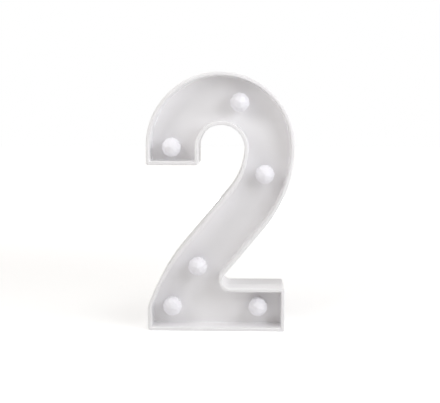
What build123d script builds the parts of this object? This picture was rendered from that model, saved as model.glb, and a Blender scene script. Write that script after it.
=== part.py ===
"""Light up marquee number two: a moulded white numeral with six frosted bulbs.

Millimetres, +Z up. The numeral stands on its foot, its open tray looks along -Y
and its battery door is in the back. The origin is the centre of the base.
Depths are measured back from the front rim of the tray.
"""
from build123d import *
from math import cos, radians, sin, tan
import os

# Outline of the numeral
height = 220.0
arch_radius = 62.4
counter_radius = 19.5
counter_shift = 0.9
counter_drop = 1.0
terminal_drop = 15.1
diagonal_slope = 50.2
inner_bend_radius = 56.0
outer_bend_radius = 106.0
calf_height = 73.0
shoulder_height = 21.0
foot_left = 62.0
foot_right = 55.0
foot_height = 37.0
notch_round = 6.8
terminal_round = 1.6
toe_top_round = 2.0
toe_round = 1.0
heel_round = 3.2
shoulder_round = 14.0

# Casing
body_depth = 45.0
rim_wall = 3.0
rim_round = 0.8
panel_thickness = 2.0
panel_round = 0.9
wire_room = 6.7
cover_wall = 2.0
cover_plate = 2.2
cover_round = 3.2
seam_bevel = 0.35
tongue_wall = 1.2
tongue_height = 2.5
fit_gap = 0.15
overrun = 1.0

# Bulbs: frosted faceted caps on short necks
bulb_inradius = 7.75
bulb_wall = 1.1
bulb_standoff = 9.0
neck_radius = 4.5
neck_bore = 2.7
neck_tail = 3.0
collar_radius = 5.6
collar_height = 0.8
socket_wall = 1.9
socket_height = 2.5
facet_tilts = [24.0, 53.0, 87.0, 121.0, 152.0]
facet_counts = [5, 10, 10, 10, 5]
facet_turns = [0.0, 18.0, 0.0, 18.0, 0.0]
arch_bulb_shares = [(-0.665, -0.01), (0.26, 0.596), (0.604, -0.377)]
diagonal_bulb_drop = 68.0
heel_bulb_inset = 20.5
toe_bulb_inset = 22.7
foot_bulb_height = 19.5
bulb_spins = [8.0, 31.0, 52.0, 15.0, 64.0, 40.0]

# Light emitting diodes in the bulb necks
led_radius = 2.5
led_length = 7.6
led_flange_radius = 2.9
led_flange = 1.0
lead_side = 0.5
lead_pitch = 2.54
lead_length = 3.0

# Battery bay, door and cells, laid along the diagonal
bay_drop = 24.0
bay_wall = 1.5
bay_floor = 1.2
cell_radius = 7.15
cell_length = 50.5
cell_nub_radius = 2.7
cell_nub = 1.3
cell_edge = 0.6
cell_lip = 0.2
cell_crimp = 1.4
cell_gap = 0.3
cell_side_gap = 0.45
cell_play = 0.2
cradle_width = 2.4
cradle_height = 2.6
cradle_spacing = 30.0
door_gap = 0.3
door_seat = 0.6
door_round = 1.5
door_step_gap = 0.1
tab_width = 5.0
tab_thickness = 1.4
tab_reach = 2.0
tab_root = 1.5
tab_spacing = 22.0
tab_swing = 2.3
latch_width = 10.0
latch_leaf = 0.9
latch_depth = 5.0
latch_span = 3.2
latch_near = 1.55
latch_ledge = 1.4
latch_clear = 0.6
latch_bend = 1.1
grip_count = 5
grip_pitch = 2.0
grip_width = 0.9
grip_length = 14.0
grip_depth = 0.4
grip_inset = 5.0
scoop_wall = 1.0
scoop_round = 0.8

# Contacts
contact_thickness = 0.4
contact_width = 11.0
contact_height = 9.6
contact_bump = 0.6
contact_bump_radius = 2.4
bump_taper = 30.0
tag_width = 3.0
tag_reach = 4.6
tag_gap = 0.25
tag_overlap = 2.15
spring_wire = 0.3
spring_base_radius = 3.9
spring_height = 4.5
spring_turns = 3.5
spring_cone = -12.0

# Slide switch
switch_x = -8.0
switch_z = 19.0
switch_length = 11.5
switch_width = 6.0
switch_can = 4.5
switch_sheet = 0.5
switch_ears = 20.0
switch_base = 1.2
switch_travel = 3.5
knob_length = 3.4
knob_width = 3.0
knob_recess = 0.5
knob_edge = 0.4
knob_groove = 0.4
knob_groove_pitch = 0.9
carriage_length = 5.2
carriage_depth = 1.8
pin_pitch = 3.0
pin_width = 0.9
pin_thickness = 0.5
pin_length = 3.4
ear_hole_pitch = 15.4
ear_screw_radius = 0.75
ear_head_radius = 1.7
ear_head = 1.1
ear_screw_bite = 1.5
dish_margin = 2.6
dish_depth = 0.9

# Screws that hold the cover
boss_radius = 3.2
boss_height = 7.0
pilot_radius = 1.05
pilot_depth = 6.4
well_wall = 1.1
well_radius = 3.1
well_floor = 2.0
screw_radius = 1.0
screw_hole = 1.45
screw_length = 7.8
screw_head_radius = 2.6
screw_head = 1.7
screw_head_round = 0.9
recess_length = 2.8
recess_width = 0.6
recess_depth = 0.9
arch_screw_shares = [(-0.44, -0.12), (-0.385, 0.519), (0.705, 0.231), (0.657, -0.667)]
heel_screw_inset = 8.5
heel_screw_height = 9.0
toe_screw_inset = 9.0
toe_screw_drop = 11.0
waist_screw_shift = 0.1
waist_screw_rise = 3.5

# Keyhole to hang the numeral on a wall screw
keyhole_x = -2.0
keyhole_drop = 22.0
keyhole_radius = 4.0
keyhole_slot = 4.2
keyhole_rise = 7.0
keyhole_pad = 2.0
keyhole_pad_height = 1.2

# Ribs inside the cover
rib_thickness = 1.2
rib_height = 4.0
rib_angles = [-8.0, 62.0, 118.0, 160.0]

# Wiring behind the panel
wire_radius = 0.65
bus_room = 5.0
wire_gap = 0.15
bend_share = 0.45
bend_most = 26.0
led_headings = [262.0, 152.0, 66.0, diagonal_slope, 151.0, 193.0]
bus_shares = [(0.14, 0.70), (0.42, 0.19), (0.28, 1.0), (0.33, 0.33), (0.33, 0.33), (0.33, 0.12)]
heel_turn_share = 0.75
heel_turn_drop = 3.0


def at_depth(depth):
    """Plane that faces the viewer, a depth behind the rim."""
    return Plane.XZ.offset(body_depth / 2 - depth)


# Places on the numeral, as (x, z)
arch_z = height - arch_radius
counter_z = arch_z - counter_drop
terminal_z = arch_z - terminal_drop
turn = 90 - diagonal_slope
slope_cos = cos(radians(diagonal_slope))
slope_sin = sin(radians(diagonal_slope))
inner_x = counter_shift + counter_radius - inner_bend_radius * (1 - slope_sin)
inner_z = counter_z - inner_bend_radius * slope_cos
outer_x = arch_radius - outer_bend_radius * (1 - slope_sin)
outer_z = arch_z - outer_bend_radius * slope_cos
calf_x = inner_x - (inner_z - calf_height) * slope_cos / slope_sin
notch_x = outer_x - (outer_z - foot_height) * slope_cos / slope_sin
stroke = (outer_x - inner_x) * slope_sin - (outer_z - inner_z) * slope_cos
waist_x = inner_x + stroke / 2 * slope_sin
waist_z = inner_z - stroke / 2 * slope_cos


def on_diagonal(along, across=0):
    """Point along the middle of the diagonal, and across it to the upper left."""
    x = waist_x + along * slope_cos - across * slope_sin
    z = waist_z + along * slope_sin + across * slope_cos
    return x, z


def diagonal_plane(depth, along=0, across=0):
    """Plane that faces the viewer, with its X axis up the diagonal."""
    x, z = on_diagonal(along, across)
    return Plane(origin=(x, depth - body_depth / 2, z), x_dir=(slope_cos, 0, slope_sin), z_dir=(0, -1, 0))


def bay_section(along, depth=None):
    """Plane across the bay at a distance from its middle, facing up the diagonal."""
    x, z = on_diagonal(along - bay_drop)
    depth = cell_depth if depth is None else depth
    return Plane(
        origin=(x, depth - body_depth / 2, z),
        x_dir=(-slope_sin, 0, slope_cos),
        z_dir=(slope_cos, 0, slope_sin),
    )


def door_section(across=0):
    """Lengthwise plane of the door: X up the diagonal and Y out of the back face."""
    x, z = on_diagonal(-bay_drop, across)
    return Plane(
        origin=(x, body_depth / 2, z),
        x_dir=(slope_cos, 0, slope_sin),
        z_dir=(-slope_sin, 0, slope_cos),
    )


def from_arch(share):
    """Point at a share of the arch radius from the middle of the arch."""
    return share[0] * arch_radius, arch_z + share[1] * arch_radius


bulb_places = [from_arch(share) for share in arch_bulb_shares]
bulb_places.append(on_diagonal(-diagonal_bulb_drop))
bulb_places.append((heel_bulb_inset - foot_left, foot_bulb_height))
bulb_places.append((foot_right - toe_bulb_inset, foot_bulb_height))
screw_places = [from_arch(share) for share in arch_screw_shares]
screw_places.append((heel_screw_inset - foot_left, heel_screw_height))
screw_places.append((foot_right - toe_screw_inset, foot_height - toe_screw_drop))
screw_places.append((notch_x + waist_screw_shift, foot_height + waist_screw_rise))
keyhole_place = (keyhole_x, height - keyhole_drop)

# Depths of the layers, from the back forwards: plate, cells, bay floor, wires and panel
plate_depth = body_depth - cover_plate
cell_depth = plate_depth - cell_gap - cell_radius
floor_back = cell_depth - cell_radius - cell_gap
floor_front = floor_back - bay_floor
seam_depth = floor_front - wire_room
panel_depth = seam_depth - panel_thickness
well_front = seam_depth + boss_height
well_back = well_front + well_floor
door_thickness = cover_plate - door_step_gap
neck_end_depth = seam_depth + neck_tail
bus_depth = seam_depth + bus_room
ears_depth = plate_depth - switch_sheet
can_front = ears_depth - switch_can
pin_tip_depth = can_front - pin_length
lead_depth = pin_tip_depth - wire_gap - wire_radius
tag_depth = lead_depth - wire_radius - wire_gap - contact_thickness / 2

# Lengths and places shared by the bay, the door, the cells and the contacts
spring_room = contact_thickness + spring_height + 2 * fit_gap + 2 * spring_wire
bay_length = spring_room + cell_length + cell_play + contact_bump + contact_thickness
cell_across = cell_radius + cell_side_gap
bay_width = 4 * cell_across
bay_end = bay_length / 2
door_length = bay_length + 2 * door_seat
door_width = bay_width + 2 * door_seat
opening_length = door_length + 2 * door_gap
opening_width = door_width + 2 * door_gap
door_end = door_length / 2
scoop_width = latch_width + 2 * door_gap
scoop_end = door_end + latch_near + latch_span + latch_ledge + latch_clear
latch_bottom = latch_depth + latch_leaf / 2
window_length = knob_length + switch_travel + 2 * fit_gap
window_width = knob_width + 2 * fit_gap
can_inside_length = switch_length - 2 * switch_sheet
can_inside_width = switch_width - 2 * switch_sheet
tab_top = cover_plate + fit_gap
cell_start = spring_room - bay_end
lead_start = tag_overlap - tag_reach - bay_end - bay_drop
switch_place = (switch_x, switch_z)
knob_place = (switch_x - switch_travel / 2, switch_z)

# The outline itself, with its corners still to be rounded
with BuildSketch() as outline:
    with BuildLine():
        arch = CenterArc((0, arch_z), arch_radius, 180, -180)
        outer_bend = JernArc(arch @ 1, arch % 1, outer_bend_radius, -turn)
        Polyline(
            outer_bend @ 1,
            (notch_x, foot_height),
            (foot_right, foot_height),
            (foot_right, 0),
            (-foot_left, 0),
            (-foot_left, shoulder_height),
        )
        counter = CenterArc((counter_shift, counter_z), counter_radius, 180, -180)
        inner_bend = JernArc(counter @ 1, counter % 1, inner_bend_radius, -turn)
        shin = Line(inner_bend @ 1, (calf_x, calf_height))
        TangentArc(shin @ 1, (-foot_left, shoulder_height), tangent=shin % 1)
        Polyline(
            counter @ 0,
            (counter_shift - counter_radius, terminal_z),
            (-arch_radius, terminal_z),
            arch @ 0,
        )
    make_face()
    corner_rounds = [
        ((notch_x, foot_height), notch_round),
        ((foot_right, foot_height), toe_top_round),
        ((foot_right, 0), toe_round),
        ((-foot_left, 0), heel_round),
        ((-foot_left, shoulder_height), shoulder_round),
        ((counter_shift - counter_radius, terminal_z), terminal_round),
        ((-arch_radius, terminal_z), terminal_round),
    ]
    for corner, radius in corner_rounds:
        fillet(outline.vertices().sort_by_distance(corner)[0], radius)


def numeral(inset=0):
    """The outline, drawn in all round by an inset."""
    with BuildSketch() as drawn_in:
        add(outline.sketch)
        if inset:
            offset(amount=-inset)
    return drawn_in.sketch


# Front shell: the tray wall, and the panel that carries the bulbs
with BuildPart() as front_shell:
    with BuildSketch(at_depth(0)):
        add(outline.sketch)
    extrude(amount=-seam_depth)
    with BuildSketch(at_depth(0)):
        add(numeral(rim_wall))
    extrude(amount=-panel_depth, mode=Mode.SUBTRACT)
    panel_face = front_shell.faces().filter_by(Axis.Y).group_by(Axis.Y)[1].sort_by(SortBy.AREA)[-1]
    fillet(panel_face.edges(), panel_round)
    fillet(front_shell.faces().sort_by(Axis.Y)[0].edges(), rim_round)
    chamfer(front_shell.faces().sort_by(Axis.Y)[-1].edges(), seam_bevel)

    # Tongue inside the cover's wall, sockets for the necks and bosses for the screws
    with BuildSketch(at_depth(seam_depth)):
        add(numeral(cover_wall + fit_gap))
        add(numeral(cover_wall + fit_gap + tongue_wall), mode=Mode.SUBTRACT)
    extrude(amount=-tongue_height)
    with BuildSketch(at_depth(seam_depth)):
        with Locations(*bulb_places):
            Circle(neck_radius + fit_gap + socket_wall)
    extrude(amount=-socket_height)
    with BuildSketch(at_depth(seam_depth)):
        with Locations(*screw_places):
            Circle(boss_radius)
    extrude(amount=-boss_height)
    with BuildSketch(at_depth(panel_depth - overrun)):
        with Locations(*bulb_places):
            Circle(neck_radius + fit_gap)
    extrude(amount=-(overrun + panel_thickness + socket_height + overrun), mode=Mode.SUBTRACT)
    with BuildSketch(at_depth(well_front - pilot_depth)):
        with Locations(*screw_places):
            Circle(pilot_radius)
    extrude(amount=-(pilot_depth + overrun), mode=Mode.SUBTRACT)
front_shell.part.label = "front_shell"

# Keyhole: a round entry for the screw's head with a slot above it for the shank
with BuildSketch() as keyhole:
    with Locations(keyhole_place):
        Circle(keyhole_radius)
        SlotCenterPoint((0, keyhole_rise / 2), (0, keyhole_rise), keyhole_slot)

# Back cover: the rear half of the casing
with BuildPart() as back_cover:
    with BuildSketch(at_depth(seam_depth)):
        add(outline.sketch)
    extrude(amount=-(body_depth - seam_depth))
    fillet(back_cover.faces().sort_by(Axis.Y)[-1].edges(), cover_round)
    with BuildSketch(at_depth(seam_depth)):
        add(numeral(cover_wall))
    extrude(amount=-(plate_depth - seam_depth), mode=Mode.SUBTRACT)
    chamfer(back_cover.faces().sort_by(Axis.Y)[0].outer_wire().edges(), seam_bevel)

    # Stiffening ribs across the arch and the foot
    with BuildSketch(at_depth(plate_depth)):
        for angle in rib_angles:
            with Locations(Location((0, arch_z), angle)):
                with Locations((arch_radius / 2, 0)):
                    Rectangle(arch_radius, rib_thickness)
        with Locations(((foot_right - toe_screw_inset) / 2, foot_height / 2)):
            Rectangle(rib_thickness, foot_height)
        add(numeral(cover_wall), mode=Mode.INTERSECT)
    extrude(amount=rib_height)

    # Battery bay, its floor, cradle ribs and door opening
    with BuildSketch(diagonal_plane(floor_front, -bay_drop)):
        Rectangle(bay_length + 2 * bay_wall, bay_width + 2 * bay_wall)
    extrude(amount=-(plate_depth - floor_front))
    with BuildSketch(diagonal_plane(floor_back, -bay_drop)):
        Rectangle(bay_length, bay_width)
    extrude(amount=-(plate_depth - floor_back), mode=Mode.SUBTRACT)
    with BuildSketch(diagonal_plane(floor_back, -bay_drop)):
        with GridLocations(cradle_spacing, 0, 2, 1):
            Rectangle(cradle_width, bay_width)
    extrude(amount=-cradle_height)
    with BuildSketch(bay_section(-cradle_spacing / 2 - cradle_width)):
        with GridLocations(2 * cell_across, 0, 2, 1):
            Circle(cell_radius + cell_gap / 2)
    extrude(amount=cradle_spacing + 2 * cradle_width, mode=Mode.SUBTRACT)
    with BuildSketch(diagonal_plane(plate_depth, -bay_drop)):
        RectangleRounded(opening_length, opening_width, door_round)
    extrude(amount=-(cover_plate + overrun), mode=Mode.SUBTRACT)

    # Slots for the door's tabs in one end wall and for the contact tags in the other
    with BuildSketch(diagonal_plane(plate_depth, bay_end + bay_wall / 2 - bay_drop)):
        with GridLocations(0, tab_spacing, 1, 2):
            Rectangle(bay_wall + 2 * fit_gap, tab_width + 2 * door_gap)
    extrude(amount=tab_swing, mode=Mode.SUBTRACT)
    with BuildSketch(bay_section(-bay_end - bay_wall - overrun, tag_depth)):
        with GridLocations(2 * cell_across, 0, 2, 1):
            Rectangle(tag_width + 2 * tag_gap, contact_thickness + 2 * tag_gap)
    extrude(amount=bay_wall + 2 * overrun, mode=Mode.SUBTRACT)

    # Finger scoop around the door's latch: a pocket with its own floor
    scoop_start = bay_end + bay_wall
    scoop_middle = (scoop_start + scoop_end) / 2
    with BuildSketch(diagonal_plane(plate_depth, -bay_drop - scoop_middle)):
        Rectangle(scoop_end - scoop_start + 2 * scoop_wall, scoop_width + 2 * scoop_wall)
    extrude(amount=latch_bottom + latch_clear + scoop_wall - cover_plate)
    with BuildSketch(diagonal_plane(body_depth + overrun, -bay_drop - scoop_middle)):
        RectangleRounded(scoop_end - scoop_start, scoop_width, scoop_round)
    extrude(amount=overrun + latch_bottom + latch_clear, mode=Mode.SUBTRACT)
    with BuildSketch(diagonal_plane(body_depth + overrun, -bay_drop - opening_length / 2)):
        Rectangle(2 * (scoop_start - opening_length / 2) + overrun, scoop_width)
    extrude(amount=overrun + cover_plate, mode=Mode.SUBTRACT)

    # Screw wells, sunk from the back
    with BuildSketch(at_depth(well_front)):
        with Locations(*screw_places):
            Circle(well_radius + well_wall)
    extrude(amount=-(plate_depth - well_front))
    with BuildSketch(at_depth(well_back)):
        with Locations(*screw_places):
            Circle(well_radius)
    extrude(amount=-(body_depth - well_back + overrun), mode=Mode.SUBTRACT)
    with BuildSketch(at_depth(well_front - overrun)):
        with Locations(*screw_places):
            Circle(screw_hole)
    extrude(amount=-(well_floor + 2 * overrun), mode=Mode.SUBTRACT)

    # Keyhole in a pad, then the switch's dish, window and screw holes
    with BuildSketch(at_depth(plate_depth)):
        add(offset(keyhole.sketch, amount=keyhole_pad, mode=Mode.PRIVATE))
    extrude(amount=keyhole_pad_height)
    with BuildSketch(at_depth(plate_depth - keyhole_pad_height - overrun)):
        add(keyhole.sketch)
    extrude(amount=-(keyhole_pad_height + cover_plate + 2 * overrun), mode=Mode.SUBTRACT)
    with BuildSketch(at_depth(body_depth - dish_depth)):
        with Locations(switch_place):
            RectangleRounded(window_length + 2 * dish_margin, window_width + 2 * dish_margin, dish_margin)
    extrude(amount=-(dish_depth + overrun), mode=Mode.SUBTRACT)
    with BuildSketch(at_depth(plate_depth - overrun)):
        with Locations(switch_place):
            Rectangle(window_length, window_width)
    extrude(amount=-(cover_plate + 2 * overrun), mode=Mode.SUBTRACT)
    with BuildSketch(at_depth(plate_depth)):
        with Locations(switch_place):
            with GridLocations(ear_hole_pitch, 0, 2, 1):
                Circle(ear_screw_radius + fit_gap / 2)
    extrude(amount=-(ear_screw_bite + fit_gap), mode=Mode.SUBTRACT)
back_cover.part.label = "back_cover"

# Battery door: a flush plate with two tabs, a sprung latch and grip grooves
with BuildPart() as battery_door:
    with BuildSketch(diagonal_plane(body_depth - door_thickness, -bay_drop)):
        RectangleRounded(door_length, door_width, door_round)
    extrude(amount=-door_thickness)
    with BuildSketch(door_section()):
        with BuildLine():
            FilletPolyline(
                (latch_leaf - door_end, latch_leaf / 2 - door_thickness),
                (-door_end - latch_near, latch_leaf / 2 - door_thickness),
                (-door_end - latch_near, -latch_depth),
                (-door_end - latch_near - latch_span, -latch_depth),
                (-door_end - latch_near - latch_span, -latch_leaf),
                (-door_end - latch_near - latch_span - latch_ledge, -latch_leaf),
                radius=[latch_leaf, latch_bend, latch_bend, latch_leaf],
            )
        trace(line_width=latch_leaf)
    extrude(amount=latch_width / 2, both=True)
    for side in (-1, 1):
        with BuildSketch(door_section(side * tab_spacing / 2)):
            with BuildLine():
                Polyline(
                    (door_end - tab_root, fit_gap - door_thickness),
                    (door_end, fit_gap - door_thickness),
                    (door_end, -tab_top),
                    (door_end + tab_reach, -tab_top),
                    (door_end + tab_reach, -tab_top - tab_thickness),
                    (door_end - tab_root, -tab_top - tab_thickness),
                    close=True,
                )
            make_face()
        extrude(amount=tab_width / 2, both=True)
    grip_start = -bay_drop - door_end + grip_inset
    with BuildSketch(diagonal_plane(body_depth - grip_depth, grip_start)):
        for groove in range(grip_count):
            with Locations((groove * grip_pitch, 0)):
                SlotOverall(grip_length, grip_width, rotation=90)
    extrude(amount=-(grip_depth + overrun), mode=Mode.SUBTRACT)
battery_door.part.label = "battery_door"


def make_cell(label, across, facing):
    """A round dry cell, its nub pointing up (1) or down (-1) the diagonal."""
    x, z = on_diagonal(-bay_drop + facing * cell_start, across)
    axis_plane = Plane(
        origin=(x, cell_depth - body_depth / 2, z),
        x_dir=(facing * slope_cos, 0, facing * slope_sin),
        z_dir=(-facing * slope_sin, 0, facing * slope_cos),
    )
    can_length = cell_length - cell_nub
    with BuildPart() as cell:
        with BuildSketch(axis_plane):
            with BuildLine():
                FilletPolyline(
                    (0, 0),
                    (0, cell_radius),
                    (can_length - cell_crimp, cell_radius),
                    (can_length - cell_edge, cell_radius - cell_edge),
                    (can_length - cell_edge, cell_nub_radius + cell_edge),
                    (can_length, cell_nub_radius + cell_edge),
                    (can_length, cell_nub_radius),
                    (cell_length, cell_nub_radius),
                    (cell_length, 0),
                    radius=[cell_edge] + [cell_lip] * 6,
                )
                Line((0, 0), (cell_length, 0))
            make_face()
        revolve(axis=Axis(axis_plane.origin, axis_plane.x_dir))
    cell.part.label = label
    return cell.part


def make_contact(label, along, facing, bumps, tagged):
    """A plate on an end wall of the bay, with a bump at each place in bumps."""
    width = contact_width + (2 * cell_across if len(bumps) > 1 else 0)
    middle = sum(place for place, raised in bumps) / len(bumps)
    face = bay_section(along)
    with BuildPart() as contact:
        with BuildSketch(face):
            with Locations((middle, 0)):
                RectangleRounded(width, contact_height, contact_bump)
        extrude(amount=facing * contact_thickness)
        for place, raised in bumps:
            if raised:
                with BuildSketch(face.offset(facing * contact_thickness)):
                    with Locations((place, 0)):
                        Circle(contact_bump_radius)
                extrude(amount=facing * contact_bump, taper=bump_taper)
        if tagged:
            with BuildSketch(bay_section(along, tag_depth)):
                with Locations((middle, 0)):
                    Rectangle(tag_width, contact_thickness)
            extrude(amount=-facing * tag_reach)
    contact.part.label = label
    return contact.part


def make_spring(label, along, facing, across):
    """A conical coil that narrows towards the cell."""
    x, z = on_diagonal(along - bay_drop, across)
    centre = (x, cell_depth - body_depth / 2, z)
    with BuildPart() as spring:
        with BuildLine() as coil:
            Helix(
                spring_height / spring_turns,
                spring_height,
                spring_base_radius,
                center=centre,
                direction=(facing * slope_cos, 0, facing * slope_sin),
                cone_angle=spring_cone,
            )
        with BuildSketch(Plane(origin=coil.line @ 0, z_dir=coil.line % 0)):
            Circle(spring_wire)
        sweep()
    spring.part.label = label
    return spring.part


cells = [make_cell("battery_cell_1", cell_across, 1), make_cell("battery_cell_2", -cell_across, -1)]
contacts = [
    make_contact("negative_contact", -bay_end, 1, [(cell_across, False)], True),
    make_contact("positive_contact", -bay_end, 1, [(-cell_across, True)], True),
    make_contact("bridge_contact", bay_end, -1, [(cell_across, True), (-cell_across, False)], False),
]
spring_seat = bay_end - contact_thickness - fit_gap - spring_wire
springs = [
    make_spring("negative_spring", -spring_seat, 1, cell_across),
    make_spring("bridge_spring", spring_seat, -1, -cell_across),
]

# Slide switch: sheet metal can with ears, base, pins, and the knob that slides in it
with BuildPart() as switch_can_piece:
    with BuildSketch(at_depth(plate_depth)):
        with Locations(switch_place):
            SlotOverall(switch_ears, switch_width)
    extrude(amount=switch_sheet)
    with BuildSketch(at_depth(ears_depth)):
        with Locations(switch_place):
            Rectangle(switch_length, switch_width)
            Rectangle(can_inside_length, can_inside_width, mode=Mode.SUBTRACT)
    extrude(amount=switch_can)
    with BuildSketch(at_depth(ears_depth - overrun)):
        with Locations(switch_place):
            Rectangle(window_length, window_width)
            with GridLocations(ear_hole_pitch, 0, 2, 1):
                Circle(ear_screw_radius + fit_gap)
    extrude(amount=-(switch_sheet + 2 * overrun), mode=Mode.SUBTRACT)
switch_can_piece.part.label = "switch_can"

with BuildPart() as switch_base_piece:
    with BuildSketch(at_depth(can_front)):
        with Locations(switch_place):
            Rectangle(can_inside_length - 2 * fit_gap, can_inside_width - 2 * fit_gap)
            with GridLocations(pin_pitch, 0, 3, 1):
                Rectangle(pin_width + fit_gap, pin_thickness + fit_gap, mode=Mode.SUBTRACT)
    extrude(amount=-switch_base)
switch_base_piece.part.label = "switch_base"

with BuildPart() as switch_pins:
    with BuildSketch(at_depth(pin_tip_depth)):
        with Locations(switch_place):
            with GridLocations(pin_pitch, 0, 3, 1):
                Rectangle(pin_width, pin_thickness)
    extrude(amount=-(pin_length + switch_base))
switch_pins.part.label = "switch_pins"

with BuildPart() as switch_knob:
    with BuildSketch(at_depth(ears_depth - fit_gap)):
        with Locations(knob_place):
            Rectangle(carriage_length, can_inside_width - 2 * fit_gap)
    extrude(amount=carriage_depth)
    with BuildSketch(at_depth(ears_depth - fit_gap)):
        with Locations(knob_place):
            RectangleRounded(knob_length, knob_width, knob_edge)
    extrude(amount=-(body_depth - knob_recess - ears_depth + fit_gap))
    with BuildSketch(at_depth(body_depth - knob_recess - grip_depth)):
        with Locations(knob_place):
            with GridLocations(knob_groove_pitch, 0, 3, 1):
                Rectangle(knob_groove, knob_width)
    extrude(amount=-(grip_depth + overrun), mode=Mode.SUBTRACT)
switch_knob.part.label = "switch_knob"

with BuildPart() as switch_screws:
    with BuildSketch(at_depth(ears_depth)):
        with Locations(switch_place):
            with GridLocations(ear_hole_pitch, 0, 2, 1):
                Circle(ear_head_radius)
    extrude(amount=ear_head)
    with BuildSketch(at_depth(ears_depth)):
        with Locations(switch_place):
            with GridLocations(ear_hole_pitch, 0, 2, 1):
                Circle(ear_screw_radius)
    extrude(amount=-(switch_sheet + ear_screw_bite))
switch_screws.part.label = "switch_screws"

# Cover screws: pan heads with a cross recess, at the bottoms of the wells
with BuildPart() as cover_screws:
    with BuildSketch(at_depth(well_back)):
        with Locations(*screw_places):
            Circle(screw_head_radius)
    extrude(amount=-screw_head)
    head_tops = cover_screws.faces().filter_by(Axis.Y).group_by(Axis.Y)[-1]
    fillet(head_tops.edges(), screw_head_round)
    with BuildSketch(at_depth(well_back)):
        with Locations(*screw_places):
            Circle(screw_radius)
    extrude(amount=screw_length)
    with BuildSketch(at_depth(well_back + screw_head - recess_depth)):
        with Locations(*screw_places):
            Rectangle(recess_length, recess_width)
            Rectangle(recess_width, recess_length)
    extrude(amount=-(recess_depth + overrun), mode=Mode.SUBTRACT)
cover_screws.part.label = "cover_screws"

# Bulb cap: a ball cut by rows of flat facets, hollow, on a neck with a collar
with BuildPart() as bulb_form:
    Sphere(bulb_inradius + bulb_wall)
    for tilt, facets, first in zip(facet_tilts, facet_counts, facet_turns):
        for step in range(facets):
            around = radians(first + step * 360 / facets)
            lean = radians(tilt)
            outward = Vector(sin(lean) * cos(around), -cos(lean), sin(lean) * sin(around))
            split(bisect_by=Plane(origin=outward * bulb_inradius, z_dir=outward), keep=Keep.BOTTOM)
    with BuildSketch(Plane.XZ):
        Circle(neck_radius)
    extrude(amount=-(bulb_standoff + panel_thickness + neck_tail))
    with BuildSketch(Plane.XZ.offset(collar_height - bulb_standoff)):
        Circle(collar_radius)
    extrude(amount=-collar_height)
    Sphere(bulb_inradius - bulb_wall, mode=Mode.SUBTRACT)
    with BuildSketch(Plane.XZ):
        Circle(neck_bore)
    extrude(amount=-(bulb_standoff + panel_thickness + neck_tail + overrun), mode=Mode.SUBTRACT)

bulbs = []
for number, (place, spin) in enumerate(zip(bulb_places, bulb_spins), start=1):
    middle = (place[0], panel_depth - bulb_standoff - body_depth / 2, place[1])
    with BuildPart() as bulb:
        with Locations(Location(middle, (0, spin, 0))):
            add(bulb_form.part)
    bulb.part.label = "bulb_" + str(number)
    bulbs.append(bulb.part)

# Light emitting diode: a round lens on a flange, with two leads
with BuildPart() as led_form:
    with BuildSketch(Plane.XY):
        with BuildLine():
            Polyline(
                (0, led_flange),
                (led_flange_radius, led_flange),
                (led_flange_radius, 0),
                (led_radius, 0),
                (led_radius, led_radius - led_length),
            )
            RadiusArc((led_radius, led_radius - led_length), (0, -led_length), led_radius)
            Line((0, -led_length), (0, led_flange))
        make_face()
    revolve(axis=Axis.Y)
    with BuildSketch(Plane.XZ.offset(-led_flange)):
        with GridLocations(lead_pitch, 0, 2, 1):
            Rectangle(lead_side, lead_side)
    extrude(amount=-lead_length)

leds = []
for number, (place, heading) in enumerate(zip(bulb_places, led_headings), start=1):
    seat = (place[0], neck_end_depth - body_depth / 2, place[1])
    with BuildPart() as led:
        with Locations(Location(seat, (0, -heading - 90, 0))):
            add(led_form.part)
    led.part.label = "led_" + str(number)
    leds.append(led.part)


def bus_route():
    """Middle line of the pair of wires that runs past every diode, from toe to terminal, as (x, z)."""
    route = []
    for place, angle, shares in zip(reversed(bulb_places), reversed(led_headings), bus_shares):
        heading = radians(angle)
        for reach in (-shares[0] * stroke, shares[1] * stroke):
            route.append((place[0] + reach * cos(heading), place[1] + reach * sin(heading)))
    # The turn in the heel comes after the two points at the toe bulb and the two at the heel bulb
    route.insert(4, (-heel_turn_share * foot_left, foot_height - heel_turn_drop))
    return route


def beside(route, gap):
    """The same route a gap to its left, with mitred corners."""
    points = [Vector(x, z) for x, z in route]
    heads = [(after - before).normalized() for before, after in zip(points, points[1:])]
    heads = [heads[0]] + heads + [heads[-1]]
    moved = []
    for point, head_in, head_out in zip(points, heads, heads[1:]):
        mean = (head_in + head_out).normalized()
        mitre = gap / mean.dot(head_in)
        moved.append((point.X - mean.Y * mitre, point.Y + mean.X * mitre))
    return moved


def make_wire(label, points):
    """A round wire along straight runs joined by arcs as large as the runs allow."""
    corners = [Vector(point) for point in points]
    radii = []
    for before, corner, after in zip(corners, corners[1:], corners[2:]):
        run_in, run_out = corner - before, after - corner
        half_turn = radians(run_in.get_angle(run_out)) / 2
        room = bend_share * min(run_in.length, run_out.length)
        radii.append(min(bend_most, room / tan(half_turn)))
    with BuildPart() as wire:
        with BuildLine() as path:
            FilletPolyline(*corners, radius=radii)
        with BuildSketch(Plane(origin=path.line @ 0, z_dir=path.line % 0)):
            Circle(wire_radius)
        sweep()
    wire.part.label = label
    print(label, "length", round(path.wires()[0].length, 1), "bends", [round(radius, 1) for radius in radii])
    return wire.part


def behind_panel(points, depth):
    """Points (x, z) set at one depth."""
    return [(x, depth - body_depth / 2, z) for x, z in points]


def from_diagonal(along, across, depth):
    """Point given along, across and behind the diagonal's middle line."""
    x, z = on_diagonal(along, across)
    return x, depth - body_depth / 2, z


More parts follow.
